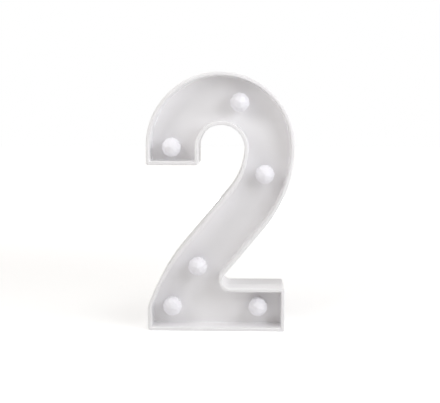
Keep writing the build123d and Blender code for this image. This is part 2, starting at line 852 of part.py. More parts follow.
wire_offset = lead_pitch / 2 + lead_side / 2 + wire_gap + wire_radius
well_x, well_z = screw_places[-1]
wires = [
    make_wire("led_bus_positive", behind_panel(beside(bus_route(), -wire_offset), bus_depth)),
    make_wire("led_bus_negative", behind_panel(beside(bus_route(), wire_offset), bus_depth)),
    make_wire("battery_lead_positive", behind_panel(
        [
            on_diagonal(lead_start, -cell_across),
            (well_x - 6.5, well_z + 10.5),
            (well_x - 9.5, well_z - 2.5),
            (switch_x - pin_pitch, switch_z + 7.0),
            (switch_x - pin_pitch, switch_z - 1.2),
        ],
        lead_depth,
    )),
    make_wire("battery_lead_negative", [
        from_diagonal(lead_start, cell_across, lead_depth),
        from_diagonal(lead_start - 4.6, cell_across, lead_depth),
        from_diagonal(lead_start - 6.6, 5.6, bus_depth + 2.2),
        from_diagonal(lead_start - 6.6, wire_offset + 2 * wire_radius + wire_gap, bus_depth),
    ]),
    make_wire("switch_lead", [
        (switch_x, lead_depth - body_depth / 2, switch_z + 1.6),
        (switch_x, lead_depth - body_depth / 2, switch_z - 2.0),
        (switch_x + 2.0, bus_depth + 2.6 - body_depth / 2, switch_z - 3.1),
        (switch_x + 8.0, bus_depth - body_depth / 2, switch_z - 2.1),
    ]),
]

os.makedirs("parts", exist_ok=True)
pieces = [
    front_shell.part,
    back_cover.part,
    battery_door.part,
    *cells,
    *contacts,
    *springs,
    switch_can_piece.part,
    switch_base_piece.part,
    switch_pins.part,
    switch_knob.part,
    switch_screws.part,
    cover_screws.part,
    *bulbs,
    *leds,
    *wires,
]
for piece in pieces:
    export_step(piece, "parts/" + piece.label + ".step")
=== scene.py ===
"""Light up marquee number two: the finish of every piece, the bulb caps, and the stage.

Metres, +Z up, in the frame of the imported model: the numeral stands on the floor and its
open tray looks along -Y. Sizes are written in millimetres and turned to metres by MM.
"""

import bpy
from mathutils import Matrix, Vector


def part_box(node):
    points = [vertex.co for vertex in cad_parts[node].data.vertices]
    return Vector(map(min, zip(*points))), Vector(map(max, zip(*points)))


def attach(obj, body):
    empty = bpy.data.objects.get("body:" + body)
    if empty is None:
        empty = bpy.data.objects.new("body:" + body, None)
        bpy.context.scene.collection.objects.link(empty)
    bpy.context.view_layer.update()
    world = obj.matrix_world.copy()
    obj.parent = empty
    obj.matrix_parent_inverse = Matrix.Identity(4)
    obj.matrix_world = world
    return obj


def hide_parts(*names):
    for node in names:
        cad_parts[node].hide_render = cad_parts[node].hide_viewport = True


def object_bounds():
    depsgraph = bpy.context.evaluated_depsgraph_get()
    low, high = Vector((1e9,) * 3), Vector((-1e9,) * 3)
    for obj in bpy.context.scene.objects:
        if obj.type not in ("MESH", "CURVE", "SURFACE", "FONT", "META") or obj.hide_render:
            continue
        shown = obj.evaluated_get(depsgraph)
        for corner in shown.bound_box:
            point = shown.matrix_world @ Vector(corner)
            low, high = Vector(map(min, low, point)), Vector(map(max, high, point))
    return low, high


bl_info = {
    "name": "Marquee number",
    "version": (1, 0, 0),
    "blender": (4, 5, 0),
    "location": "3D View > Sidebar > Marquee",
    "description": "Bulb caps, finishes and stage for a battery lit marquee number",
    "category": "Object",
}

from math import cos, pi, radians, sin

import bmesh
import bpy
from bpy.props import FloatProperty, FloatVectorProperty, PointerProperty
from mathutils import Matrix, Vector

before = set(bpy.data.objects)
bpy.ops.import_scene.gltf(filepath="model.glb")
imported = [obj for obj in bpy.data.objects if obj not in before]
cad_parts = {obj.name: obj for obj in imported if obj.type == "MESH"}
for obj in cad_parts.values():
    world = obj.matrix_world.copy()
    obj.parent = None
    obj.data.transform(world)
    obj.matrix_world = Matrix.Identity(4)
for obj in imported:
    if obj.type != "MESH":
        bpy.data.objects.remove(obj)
cad_low, cad_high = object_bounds()

MM = 0.001
BULB_COUNT = 6

# The rows of facets on a bulb cap, from its front: how far each row leans in degrees,
# how many facets it has, and the turn of its first one
FACET_TILTS = (24.0, 53.0, 87.0, 121.0, 152.0)
FACET_COUNTS = (5, 10, 10, 10, 5)
FACET_TURNS = (0.0, 18.0, 0.0, 18.0, 0.0)
# The turn of each whole cap in its socket, in degrees
BULB_SPINS = (8.0, 31.0, 52.0, 15.0, 64.0, 40.0)


def linear(code):
    """An sRGB hex colour as linear red, green, blue and alpha."""
    channels = [int(code[place:place + 2], 16) / 255 for place in (0, 2, 4)]
    return tuple(
        c / 12.92 if c <= 0.04045 else ((c + 0.055) / 1.055) ** 2.4 for c in channels
    ) + (1.0,)


def darker(colour, share):
    """A colour with its red, green and blue brought down to a share of themselves."""
    return tuple(c * share for c in colour[:3]) + (1.0,)


def add_node(tree, kind, inputs=None, links=None, **settings):
    """Adds a node with its settings, the values of its sockets and the outputs linked to them."""
    node = tree.nodes.new(kind)
    for name, value in settings.items():
        setattr(node, name, value)
    for socket, value in (inputs or {}).items():
        node.inputs[socket].default_value = value
    for socket, source in (links or {}).items():
        tree.links.new(source, node.inputs[socket])
    return node


class CasingSettings(bpy.types.PropertyGroup):
    """Colours and texture of the moulded casing."""
    shell_colour: FloatVectorProperty(
        name="Shell", description="Colour of the moulded front shell",
        subtype="COLOR", size=4, min=0, max=1, default=linear("F8F7F8"),
    )
    # A trace greyer than the shell: painted shade that darkens the rear half of the casing
    cover_colour_with_painted_shade: FloatVectorProperty(
        name="Cover", description="Colour of the back cover and its battery door",
        subtype="COLOR", size=4, min=0, max=1, default=linear("F4F3F4"),
    )
    grain: FloatProperty(
        name="Grain", description="Spacing of the fine grain that the mould leaves",
        unit="LENGTH", default=0.45 * MM,
    )


class BulbSettings(bpy.types.PropertyGroup):
    """Sizes and colour of the frosted bulb caps."""
    inradius: FloatProperty(
        name="Ball", description="Distance from the middle of a cap to its facets",
        unit="LENGTH", default=7.75 * MM,
    )
    edge_round: FloatProperty(
        name="Edge", description="Width of the soft edge between facets",
        unit="LENGTH", default=0.12 * MM,
    )
    cap_colour: FloatVectorProperty(
        name="Cap", description="Colour of the milky cap",
        subtype="COLOR", size=4, min=0, max=1, default=linear("FBFAFF"),
    )


class BatterySettings(bpy.types.PropertyGroup):
    """Colours and print of the cells."""
    wrap_colour: FloatVectorProperty(
        name="Wrap", description="Colour of the sleeve that is shrunk round a cell",
        subtype="COLOR", size=4, min=0, max=1, default=linear("23513F"),
    )
    band_colour: FloatVectorProperty(
        name="Band", description="Colour of the band at the positive end of a cell",
        subtype="COLOR", size=4, min=0, max=1, default=linear("C9CBC8"),
    )
    band_width: FloatProperty(
        name="Band width", description="Width of the band", unit="LENGTH", default=9 * MM,
    )
    ink_colour: FloatVectorProperty(
        name="Ink", description="Colour of the plus sign that is printed on the band",
        subtype="COLOR", size=4, min=0, max=1, default=linear("2A2C2E"),
    )
    sign_size: FloatProperty(
        name="Sign", description="Length of each bar of the plus sign",
        unit="LENGTH", default=4.2 * MM,
    )
    sign_stroke: FloatProperty(
        name="Stroke", description="Width of each bar of the plus sign",
        unit="LENGTH", default=1.0 * MM,
    )


class MetalSettings(bpy.types.PropertyGroup):
    """Colours of the metal pieces."""
    nickel_colour: FloatVectorProperty(
        name="Nickel", description="Colour of the nickel plating on contacts and springs",
        subtype="COLOR", size=4, min=0, max=1, default=linear("D2CEC4"),
    )
    tin_colour: FloatVectorProperty(
        name="Tin", description="Colour of the tin on the switch and the solder tags",
        subtype="COLOR", size=4, min=0, max=1, default=linear("C4C6C8"),
    )
    zinc_colour: FloatVectorProperty(
        name="Zinc", description="Colour of the zinc plating on the screws",
        subtype="COLOR", size=4, min=0, max=1, default=linear("B4B9C0"),
    )


class WiringSettings(bpy.types.PropertyGroup):
    """Colours of the wires and the switch knob."""
    positive_colour: FloatVectorProperty(
        name="Positive", description="Colour of the positive wires",
        subtype="COLOR", size=4, min=0, max=1, default=linear("A8231D"),
    )
    negative_colour: FloatVectorProperty(
        name="Negative", description="Colour of the negative wires",
        subtype="COLOR", size=4, min=0, max=1, default=linear("222224"),
    )
    knob_colour: FloatVectorProperty(
        name="Knob", description="Colour of the switch knob",
        subtype="COLOR", size=4, min=0, max=1, default=linear("232325"),
    )


class StageSettings(bpy.types.PropertyGroup):
    """Camera, lamps and floor."""
    camera_place: FloatVectorProperty(
        name="Camera", description="Where the camera stands",
        subtype="TRANSLATION", unit="LENGTH", default=(20.9 * MM, -695.2 * MM, 192.3 * MM),
    )
    camera_turn: FloatVectorProperty(
        name="Turn", description="Tilt, roll and swing of the camera",
        subtype="EULER", default=(radians(83.19), 0.0, radians(1.785)),
    )
    lens: FloatProperty(
        name="Lens", description="Focal length of the camera", unit="CAMERA", default=65.95,
    )
    side_power: FloatProperty(
        name="Side", description="Power of the large softbox far to the right",
        unit="POWER", default=2.6,
    )
    key_power: FloatProperty(
        name="Key", description="Power of the near softbox at the right",
        unit="POWER", default=0.73,
    )
    fill_power: FloatProperty(
        name="Fill", description="Power of the near softbox at the left",
        unit="POWER", default=0.6,
    )
    top_power: FloatProperty(
        name="Top", description="Power of the near softbox above", unit="POWER", default=0.5,
    )
    back_power: FloatProperty(
        name="Back", description="Power of the softbox behind", unit="POWER", default=3.2,
    )
    room_light: FloatProperty(
        name="Room", description="Strength of the light from all round", default=0.28,
    )
    room_colour: FloatVectorProperty(
        name="Room colour",
        description="Slightly warm light from all round, as in the photograph's shaded corners",
        subtype="COLOR", size=4, min=0, max=1, default=(1.0, 0.94, 0.875, 1.0),
    )
    key_colour: FloatVectorProperty(
        name="Key colour", description="Slightly cool light of the near softbox at the right",
        subtype="COLOR", size=3, min=0, max=1, default=(0.92, 0.95, 1.0),
    )
    floor_size: FloatProperty(
        name="Floor", description="Width of the floor", unit="LENGTH", default=6000 * MM,
    )


def new_material(name):
    """An empty material, its tree, and places on the object in metres."""
    material = bpy.data.materials.new(name)
    material.use_nodes = True
    tree = material.node_tree
    tree.nodes.clear()
    place = add_node(tree, "ShaderNodeTexCoord").outputs["Object"]
    return material, tree, place


def moulded_plastic(name, colour, grain):
    """ABS or acetal, injection moulded: satin, with a hair of grain and faint flow clouds.

    A mould's grain is nearer 0.1 mm. It is drawn coarser here, so that it shows.
    """
    material, tree, place = new_material(name)
    cloud = 34 * MM
    clouds = add_node(
        tree, "ShaderNodeTexNoise",
        inputs={"Scale": 1 / cloud, "Detail": 2.0, "Roughness": 0.5}, links={"Vector": place},
    )
    tint = add_node(
        tree, "ShaderNodeMix", data_type="RGBA",
        inputs={"A": darker(colour, 0.975), "B": tuple(colour)},
        links={"Factor": clouds.outputs["Fac"]},
    )
    grains = add_node(
        tree, "ShaderNodeTexNoise",
        inputs={"Scale": 1 / grain, "Detail": 3.0, "Roughness": 0.6}, links={"Vector": place},
    )
    gloss = add_node(
        tree, "ShaderNodeMapRange", inputs={"To Min": 0.40, "To Max": 0.52},
        links={"Value": grains.outputs["Fac"]},
    )
    bump = add_node(
        tree, "ShaderNodeBump", inputs={"Strength": 0.25, "Distance": 0.02 * MM},
        links={"Height": grains.outputs["Fac"]},
    )
    shader = add_node(
        tree, "ShaderNodeBsdfPrincipled", inputs={"IOR": 1.53},
        links={
            "Base Color": tint.outputs["Result"], "Roughness": gloss.outputs["Result"],
            "Normal": bump.outputs["Normal"],
        },
    )
    add_node(tree, "ShaderNodeOutputMaterial", links={"Surface": shader.outputs["BSDF"]})
    return material


def frosted_cap(name, colour):
    """Polypropylene, moulded and frosted: milky, light sinks in a little and comes out soft.

    Real frosting is finer than 0.1 mm. It is drawn coarser here, so that it shows.
    """
    material, tree, place = new_material(name)
    frost = 0.3 * MM
    haze = add_node(
        tree, "ShaderNodeTexNoise",
        inputs={"Scale": 1 / frost, "Detail": 2.0}, links={"Vector": place},
    )
    gloss = add_node(
        tree, "ShaderNodeMapRange", inputs={"To Min": 0.30, "To Max": 0.40},
        links={"Value": haze.outputs["Fac"]},
    )
    bump = add_node(
        tree, "ShaderNodeBump", inputs={"Strength": 0.15, "Distance": 0.01 * MM},
        links={"Height": haze.outputs["Fac"]},
    )
    shader = add_node(
        tree, "ShaderNodeBsdfPrincipled",
        inputs={
            "Base Color": tuple(colour), "IOR": 1.49, "Subsurface Weight": 0.1,
            "Subsurface Radius": (1.0, 0.97, 1.0), "Subsurface Scale": 1.2 * MM,
        },
        links={"Roughness": gloss.outputs["Result"], "Normal": bump.outputs["Normal"]},
    )
    add_node(tree, "ShaderNodeOutputMaterial", links={"Surface": shader.outputs["BSDF"]})
    return material


def cast_epoxy(name, body_end):
    """Epoxy, cast clear round the chip: glassy and faintly cloudy, with tinned legs behind it.

    The legs are all that lies further back than body_end.
    """
    material, tree, place = new_material(name)
    cloud = 0.8 * MM
    haze = add_node(
        tree, "ShaderNodeTexNoise",
        inputs={"Scale": 1 / cloud, "Detail": 2.0}, links={"Vector": place},
    )
    gloss = add_node(
        tree, "ShaderNodeMapRange", inputs={"To Min": 0.05, "To Max": 0.16},
        links={"Value": haze.outputs["Fac"]},
    )
    lens = add_node(
        tree, "ShaderNodeBsdfPrincipled",
        inputs={"Base Color": linear("FBF7E6"), "IOR": 1.54, "Transmission Weight": 0.85},
        links={"Roughness": gloss.outputs["Result"]},
    )
    legs = add_node(
        tree, "ShaderNodeBsdfPrincipled",
        inputs={"Base Color": linear("C4C6C8"), "Metallic": 1.0, "Roughness": 0.34},
    )
    depth = add_node(tree, "ShaderNodeSeparateXYZ", links={"Vector": place})
    behind = add_node(
        tree, "ShaderNodeMath", operation="GREATER_THAN",
        inputs={1: body_end}, links={0: depth.outputs["Y"]},
    )
    both = add_node(
        tree, "ShaderNodeMixShader",
        links={0: behind.outputs["Value"], 1: lens.outputs["BSDF"], 2: legs.outputs["BSDF"]},
    )
    add_node(tree, "ShaderNodeOutputMaterial", links={"Surface": both.outputs["Shader"]})
    return material


def sleeved_cell(name, battery, middle, way, reach):
    """PVC, printed and shrunk on: a glossy sleeve, a band with a plus sign, bare steel at the ends.

    The cell lies along way, which points to its positive end, and each end is reach away from
    its middle.
    """
    material, tree, place = new_material(name)
    offset = add_node(
        tree, "ShaderNodeVectorMath", operation="SUBTRACT", inputs={1: middle}, links={0: place},
    )
    along = add_node(
        tree, "ShaderNodeVectorMath", operation="DOT_PRODUCT",
        inputs={1: way}, links={0: offset.outputs["Vector"]},
    )

    # The sleeve leaves the two ends bare, up to this distance from the cell's axis
    bare_radius = 6.2 * MM
    axial = add_node(
        tree, "ShaderNodeVectorMath", operation="SCALE",
        inputs={0: way}, links={"Scale": along.outputs["Value"]},
    )
    across = add_node(
        tree, "ShaderNodeVectorMath", operation="DISTANCE",
        links={0: offset.outputs["Vector"], 1: axial.outputs["Vector"]},
    )
    sleeve = add_node(
        tree, "ShaderNodeMath", operation="GREATER_THAN",
        inputs={1: bare_radius}, links={0: across.outputs["Value"]},
    )
    band = add_node(
        tree, "ShaderNodeMath", operation="GREATER_THAN",
        inputs={1: reach - battery.band_width}, links={0: along.outputs["Value"]},
    )

    # The plus sign: near the middle of the band both along and across, and on one of its bars
    crossways = way.cross(Vector((0, 1, 0)))
    lengthwise = add_node(
        tree, "ShaderNodeMath", operation="SUBTRACT",
        inputs={1: reach - battery.band_width / 2}, links={0: along.outputs["Value"]},
    )
    lengthwise = add_node(
        tree, "ShaderNodeMath", operation="ABSOLUTE", links={0: lengthwise.outputs["Value"]},
    )
    sideways = add_node(
        tree, "ShaderNodeVectorMath", operation="DOT_PRODUCT",
        inputs={1: crossways}, links={0: offset.outputs["Vector"]},
    )
    sideways = add_node(
        tree, "ShaderNodeMath", operation="ABSOLUTE", links={0: sideways.outputs["Value"]},
    )
    further = add_node(
        tree, "ShaderNodeMath", operation="MAXIMUM",
        links={0: lengthwise.outputs["Value"], 1: sideways.outputs["Value"]},
    )
    nearer = add_node(
        tree, "ShaderNodeMath", operation="MINIMUM",
        links={0: lengthwise.outputs["Value"], 1: sideways.outputs["Value"]},
    )
    within = add_node(
        tree, "ShaderNodeMath", operation="LESS_THAN",
        inputs={1: battery.sign_size / 2}, links={0: further.outputs["Value"]},
    )
    on_bar = add_node(
        tree, "ShaderNodeMath", operation="LESS_THAN",
        inputs={1: battery.sign_stroke / 2}, links={0: nearer.outputs["Value"]},
    )
    sign = add_node(
        tree, "ShaderNodeMath", operation="MULTIPLY",
        links={0: within.outputs["Value"], 1: on_bar.outputs["Value"]},
    )
    sleeve_colour = add_node(
        tree, "ShaderNodeMix", data_type="RGBA",
        inputs={"A": tuple(battery.wrap_colour), "B": tuple(battery.band_colour)},
        links={"Factor": band.outputs["Value"]},
    )
    print_colour = add_node(
        tree, "ShaderNodeMix", data_type="RGBA", inputs={"B": tuple(battery.ink_colour)},
        links={"A": sleeve_colour.outputs["Result"], "Factor": sign.outputs["Value"]},
    )

    ripple = 6 * MM
    rub = add_node(
        tree, "ShaderNodeTexNoise",
        inputs={"Scale": 1 / ripple, "Detail": 5.0, "Roughness": 0.6}, links={"Vector": place},
    )
    gloss = add_node(
        tree, "ShaderNodeMapRange", inputs={"To Min": 0.16, "To Max": 0.34},
        links={"Value": rub.outputs["Fac"]},
    )
    bump = add_node(
        tree, "ShaderNodeBump", inputs={"Strength": 0.3, "Distance": 0.04 * MM},
        links={"Height": rub.outputs["Fac"]},
    )
    film = add_node(
        tree, "ShaderNodeBsdfPrincipled", inputs={"IOR": 1.54},
        links={
            "Base Color": print_colour.outputs["Result"], "Roughness": gloss.outputs["Result"],
            "Normal": bump.outputs["Normal"],
        },
    )
    can = add_node(
        tree, "ShaderNodeBsdfPrincipled", inputs={"Base Color": linear("CFCCC4"), "Metallic": 1.0},
        links={"Roughness": gloss.outputs["Result"]},
    )
    both = add_node(
        tree, "ShaderNodeMixShader",
        links={0: sleeve.outputs["Value"], 1: can.outputs["BSDF"], 2: film.outputs["BSDF"]},
    )
    add_node(tree, "ShaderNodeOutputMaterial", links={"Surface": both.outputs["Shader"]})
    return material


def plated_steel(name, colour, line, low, high):
    """Steel, pressed or drawn and then plated: fine lines of the tool still break up the shine.

    The roughness runs from low to high over the lines. Real lines lie a few hundredths of a
    millimetre apart, and are drawn coarser here, so that they show.
    """
    material, tree, place = new_material(name)
    # Width of a line as a share of its length, which lies along Y
    slimness = 0.12
    stretch = add_node(
        tree, "ShaderNodeMapping",
        inputs={"Scale": (1 / line, slimness / line, 1 / line)}, links={"Vector": place},
    )
    lines = add_node(
        tree, "ShaderNodeTexNoise", inputs={"Scale": 1.0, "Detail": 4.0, "Roughness": 0.65},
        links={"Vector": stretch.outputs["Vector"]},
    )
    gloss = add_node(
        tree, "ShaderNodeMapRange", inputs={"To Min": low, "To Max": high},
        links={"Value": lines.outputs["Fac"]},
    )
    bump = add_node(
        tree, "ShaderNodeBump", inputs={"Strength": 0.2, "Distance": 0.01 * MM},
        links={"Height": lines.outputs["Fac"]},
    )
    shade = add_node(
        tree, "ShaderNodeMix", data_type="RGBA",
        inputs={"A": darker(colour, 0.86), "B": tuple(colour)},
        links={"Factor": lines.outputs["Fac"]},
    )
    shader = add_node(
        tree, "ShaderNodeBsdfPrincipled", inputs={"Metallic": 1.0},
        links={
            "Base Color": shade.outputs["Result"], "Roughness": gloss.outputs["Result"],
            "Normal": bump.outputs["Normal"],
        },
    )
    add_node(tree, "ShaderNodeOutputMaterial", links={"Surface": shader.outputs["BSDF"]})
    return material


def phenolic_board(name):
    """Paper phenolic, pressed in layers: a brown board with darker plies and a dull skin."""
    material, tree, place = new_material(name)
    ply, fibre = 0.4 * MM, 0.25 * MM
    # A wave of scale 1 repeats every 2 pi / 20 units
    plies = add_node(
        tree, "ShaderNodeTexWave", wave_type="BANDS", bands_direction="Y",
        inputs={"Scale": 2 * pi / (20 * ply), "Distortion": 3.0, "Detail": 3.0},
        links={"Vector": place},
    )
    fibres = add_node(
        tree, "ShaderNodeTexNoise",
        inputs={"Scale": 1 / fibre, "Detail": 4.0}, links={"Vector": place},
    )
    colour = add_node(
        tree, "ShaderNodeMix", data_type="RGBA",
        inputs={"A": linear("5A361C"), "B": linear("7A4B26")},
        links={"Factor": plies.outputs["Fac"]},
    )
    gloss = add_node(
        tree, "ShaderNodeMapRange", inputs={"To Min": 0.45, "To Max": 0.65},
        links={"Value": fibres.outputs["Fac"]},
    )
    bump = add_node(
        tree, "ShaderNodeBump", inputs={"Strength": 0.3, "Distance": 0.02 * MM},
        links={"Height": fibres.outputs["Fac"]},
    )
    shader = add_node(
        tree, "ShaderNodeBsdfPrincipled", inputs={"IOR": 1.6},
        links={
            "Base Color": colour.outputs["Result"], "Roughness": gloss.outputs["Result"],
            "Normal": bump.outputs["Normal"],
        },
    )
    add_node(tree, "ShaderNodeOutputMaterial", links={"Surface": shader.outputs["BSDF"]})
    return material


def soft_pvc(name, colour):
    """PVC, extruded as a sleeve: an even colour with a soft, slightly waxy shine."""
    material, tree, place = new_material(name)
    bloom = 1.5 * MM
    wax = add_node(
        tree, "ShaderNodeTexNoise",
        inputs={"Scale": 1 / bloom, "Detail": 3.0}, links={"Vector": place},
    )
    gloss = add_node(
        tree, "ShaderNodeMapRange", inputs={"To Min": 0.36, "To Max": 0.5},
        links={"Value": wax.outputs["Fac"]},
    )
    shade = add_node(
        tree, "ShaderNodeMix", data_type="RGBA",
        inputs={"A": darker(colour, 0.88), "B": tuple(colour)},
        links={"Factor": wax.outputs["Fac"]},
    )
    shader = add_node(
        tree, "ShaderNodeBsdfPrincipled", inputs={"IOR": 1.53},
        links={"Base Color": shade.outputs["Result"], "Roughness": gloss.outputs["Result"]},
    )
    add_node(tree, "ShaderNodeOutputMaterial", links={"Surface": shader.outputs["BSDF"]})
    return material


def in_sight(tree):
    """1 for the rays that see the stage, straight, as a shine or through clear plastic, else 0."""
    path = add_node(tree, "ShaderNodeLightPath")
    seen = add_node(
        tree, "ShaderNodeMath", operation="MAXIMUM",
        links={0: path.outputs["Is Camera Ray"], 1: path.outputs["Is Glossy Ray"]},
    )
    seen = add_node(
        tree, "ShaderNodeMath", operation="MAXIMUM",
        links={0: seen.outputs["Value"], 1: path.outputs["Is Transmission Ray"]},
    )
    return seen.outputs["Value"]


def matt_paper(name):
    """Paper, rolled and left matt: an even white that takes the numeral's soft shadow.

    Near the numeral it glows little and keeps the shadow. Further off, where the lamps fall
    short, it glows more and still looks white. The glow is seen, but it lights nothing.
    """
    material, tree, place = new_material(name)
    near, far = 100 * MM, 1000 * MM
    paper = add_node(tree, "ShaderNodeBsdfDiffuse", inputs={"Color": linear("F4F4F4")})
    away = add_node(tree, "ShaderNodeVectorMath", operation="LENGTH", links={0: place})
    strength = add_node(
        tree, "ShaderNodeMapRange",
        inputs={"From Min": near, "From Max": far, "To Min": 0.4, "To Max": 0.8},
        links={"Value": away.outputs["Value"]},
    )
    glow = add_node(
        tree, "ShaderNodeEmission", inputs={"Color": (1, 1, 1, 1)},
        links={"Strength": strength.outputs["Result"]},
    )
    lit = add_node(
        tree, "ShaderNodeAddShader",
        links={0: paper.outputs["BSDF"], 1: glow.outputs["Emission"]},
    )
    both = add_node(
        tree, "ShaderNodeMixShader",
        links={0: in_sight(tree), 1: paper.outputs["BSDF"], 2: lit.outputs["Shader"]},
    )
    add_node(tree, "ShaderNodeOutputMaterial", links={"Surface": both.outputs["Shader"]})
    return material


def set_material(node, material):
    """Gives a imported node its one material."""
    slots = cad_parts[node].data.materials
    slots.clear()
    slots.append(material)


def faceted_ball(bulb):
    """Ball cut by its rows of facets, with soft edges, as a bmesh about the origin."""
    # As shares of the inradius: the ball before it is cut, and the small flat at its back
    uncut, back_flat = 1.3, 0.955
    on_plane, same_point, flat_angle = 1e-7, 0.01 * MM, radians(1)
    form = bmesh.new()
    bmesh.ops.create_icosphere(form, subdivisions=3, radius=uncut * bulb.inradius)
    cuts = [(180.0, 0.0, back_flat)]
    for tilt, count, first in zip(FACET_TILTS, FACET_COUNTS, FACET_TURNS):
        cuts += [(tilt, first + step * 360 / count, 1.0) for step in range(count)]
    for tilt, around, reach in cuts:
        lean, turn = radians(tilt), radians(around)
        outward = Vector((sin(lean) * cos(turn), -cos(lean), sin(lean) * sin(turn)))
        everything = form.verts[:] + form.edges[:] + form.faces[:]
        cut = bmesh.ops.bisect_plane(
            form, geom=everything, dist=on_plane, plane_co=outward * bulb.inradius * reach,
            plane_no=outward, clear_outer=True,
        )
        rim = [part for part in cut["geom_cut"] if isinstance(part, bmesh.types.BMEdge)]
        bmesh.ops.edgenet_fill(form, edges=rim)
    bmesh.ops.remove_doubles(form, verts=form.verts[:], dist=same_point)
    bmesh.ops.dissolve_limit(
        form, angle_limit=flat_angle, verts=form.verts[:], edges=form.edges[:],
    )
    bmesh.ops.bevel(
        form, geom=form.edges[:], offset=bulb.edge_round, segments=3, profile=0.5,
        affect="EDGES", clamp_overlap=True,
    )
    bmesh.ops.recalc_face_normals(form, faces=form.faces[:])
    return form


def turned(profile, steps):
    """Pairs of depth and radius turned about the Y axis, closed at both ends, as a bmesh."""
    form = bmesh.new()
    rings = []
    for depth, radius in profile:
        ring = []
        for step in range(steps):
            angle = 2 * pi * step / steps
            ring.append(form.verts.new((radius * cos(angle), depth, radius * sin(angle))))
        rings.append(ring)
    for near, far in zip(rings, rings[1:]):
        for step in range(steps):
            after = (step + 1) % steps
            form.faces.new((near[step], near[after], far[after], far[step]))
    form.faces.new(rings[0])
    form.faces.new(rings[-1])
    bmesh.ops.recalc_face_normals(form, faces=form.faces[:])
    return form


def as_object(form, name):
    """Turns a bmesh into an object in the scene."""
    mesh = bpy.data.meshes.new(name)
    form.to_mesh(mesh)
    form.free()
    piece = bpy.data.objects.new(name, mesh)
    bpy.context.scene.collection.objects.link(piece)
    return piece


def combine(piece, other, operation):
    """Joins another form to a piece, or cuts it out, and removes the other."""
    change = piece.modifiers.new("form", "BOOLEAN")
    change.operation = operation
    change.solver = "EXACT"
    change.object = other
    graph = bpy.context.evaluated_depsgraph_get()
    made = bpy.data.meshes.new_from_object(piece.evaluated_get(graph))
    piece.modifiers.clear()
    old = piece.data
    piece.data = made
    bpy.data.meshes.remove(old)
    bpy.data.objects.remove(other)


class MARQUEE_OT_casing(bpy.types.Operator):
    """Gives the front shell, the back cover and the battery door their moulded finish"""
    bl_idname = "marquee.casing"
    bl_label = "Finish the casing"

    def execute(self, context):
        casing = context.scene.marquee_casing
        # ABS, moulded: a satin white. The cover is a trace greyer than the shell, which is painted
        # shade on the numeral's rear half
        shell = moulded_plastic("moulded_abs_shell", casing.shell_colour, casing.grain)
        cover = moulded_plastic("moulded_abs_cover", casing.cover_colour_with_painted_shade, casing.grain)
        set_material("front_shell", shell)
        set_material("back_cover", cover)
        set_material("battery_door", cover)
        return {"FINISHED"}


class MARQUEE_OT_bulb_caps(bpy.types.Operator):
    """Models the six faceted bulb caps on their necks"""
    bl_idname = "marquee.bulb_caps"
    bl_label = "Make the bulb caps"

    def execute(self, context):
        bulb = context.scene.marquee_bulbs
        material = frosted_cap("frosted_polypropylene", bulb.cap_colour)
        neck_radius, neck_bore, collar_radius, wall = 4.5 * MM, 2.7 * MM, 5.6 * MM, 1.1 * MM
        collar_height, soft = 0.8 * MM, 0.25 * MM
        # From the middle of the ball: to the panel that the collar rests on, and to the tail
        panel_reach, tail_reach, past_tail = 9.0 * MM, 14.0 * MM, 1.0 * MM
        # Sides of the round forms, and the angle above which an edge stays sharp
        neck_sides, bore_sides, ball_sides, ball_rings = 48, 32, 40, 24
        sharp_angle = radians(26)

        model = as_object(faceted_ball(bulb), "bulb_cap")
        neck = turned([
            (0.0, neck_radius),
            (panel_reach - collar_height - 2 * soft, neck_radius),
            (panel_reach - collar_height - soft, neck_radius + soft),
            (panel_reach - collar_height, collar_radius - soft),
            (panel_reach - collar_height + soft, collar_radius),
            (panel_reach, collar_radius),
            (panel_reach, neck_radius),
            (tail_reach, neck_radius),
        ], neck_sides)
        combine(model, as_object(neck, "neck"), "UNION")
        hollow = bmesh.new()
        bmesh.ops.create_uvsphere(
            hollow, u_segments=ball_sides, v_segments=ball_rings, radius=bulb.inradius - wall,
        )
        combine(model, as_object(hollow, "hollow"), "DIFFERENCE")
        bore = turned([(0.0, neck_bore), (tail_reach + past_tail, neck_bore)], bore_sides)
        combine(model, as_object(bore, "bore"), "DIFFERENCE")
        model.data.shade_smooth()
        model.data.set_sharp_from_angle(angle=sharp_angle)

        for number in range(1, BULB_COUNT + 1):
            low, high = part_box("led_%d" % number)
            tail_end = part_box("bulb_%d" % number)[1].y
            middle = Vector(((low.x + high.x) / 2, tail_end - tail_reach, (low.z + high.z) / 2))
            spin = Matrix.Rotation(radians(BULB_SPINS[number - 1]), 4, "Y")
            mesh = model.data.copy()
            mesh.transform(Matrix.Translation(middle) @ spin)
            cap = bpy.data.objects.new("bulb_cap_%d" % number, mesh)
            context.scene.collection.objects.link(cap)
            mesh.materials.clear()
            mesh.materials.append(material)
            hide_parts("bulb_%d" % number)
            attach(cap, "root")
        bpy.data.objects.remove(model)
        return {"FINISHED"}


class MARQUEE_OT_diodes(bpy.types.Operator):
    """Gives the diodes their clear lenses and tinned legs"""
    bl_idname = "marquee.diodes"
    bl_label = "Finish the diodes"

    def execute(self, context):
        body_length = 8.6 * MM
        material = cast_epoxy("cast_clear_epoxy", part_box("led_1")[0].y + body_length)
        for number in range(1, BULB_COUNT + 1):
            set_material("led_%d" % number, material)
        return {"FINISHED"}


class MARQUEE_OT_cells(bpy.types.Operator):
    """Gives the two cells their sleeves, bands and bare ends"""
    bl_idname = "marquee.cells"
    bl_label = "Finish the cells"

    def execute(self, context):
        battery = context.scene.marquee_batteries
        # The cells lie along the numeral's diagonal, the second one upside down
        slope, length = radians(50.2), 50.5 * MM
        up = Vector((cos(slope), 0, sin(slope)))
        for node, way in (("battery_cell_1", up), ("battery_cell_2", -up)):
            low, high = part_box(node)
            middle = (low + high) / 2
            set_material(node, sleeved_cell("sleeved_" + node, battery, middle, way, length / 2))
        return {"FINISHED"}


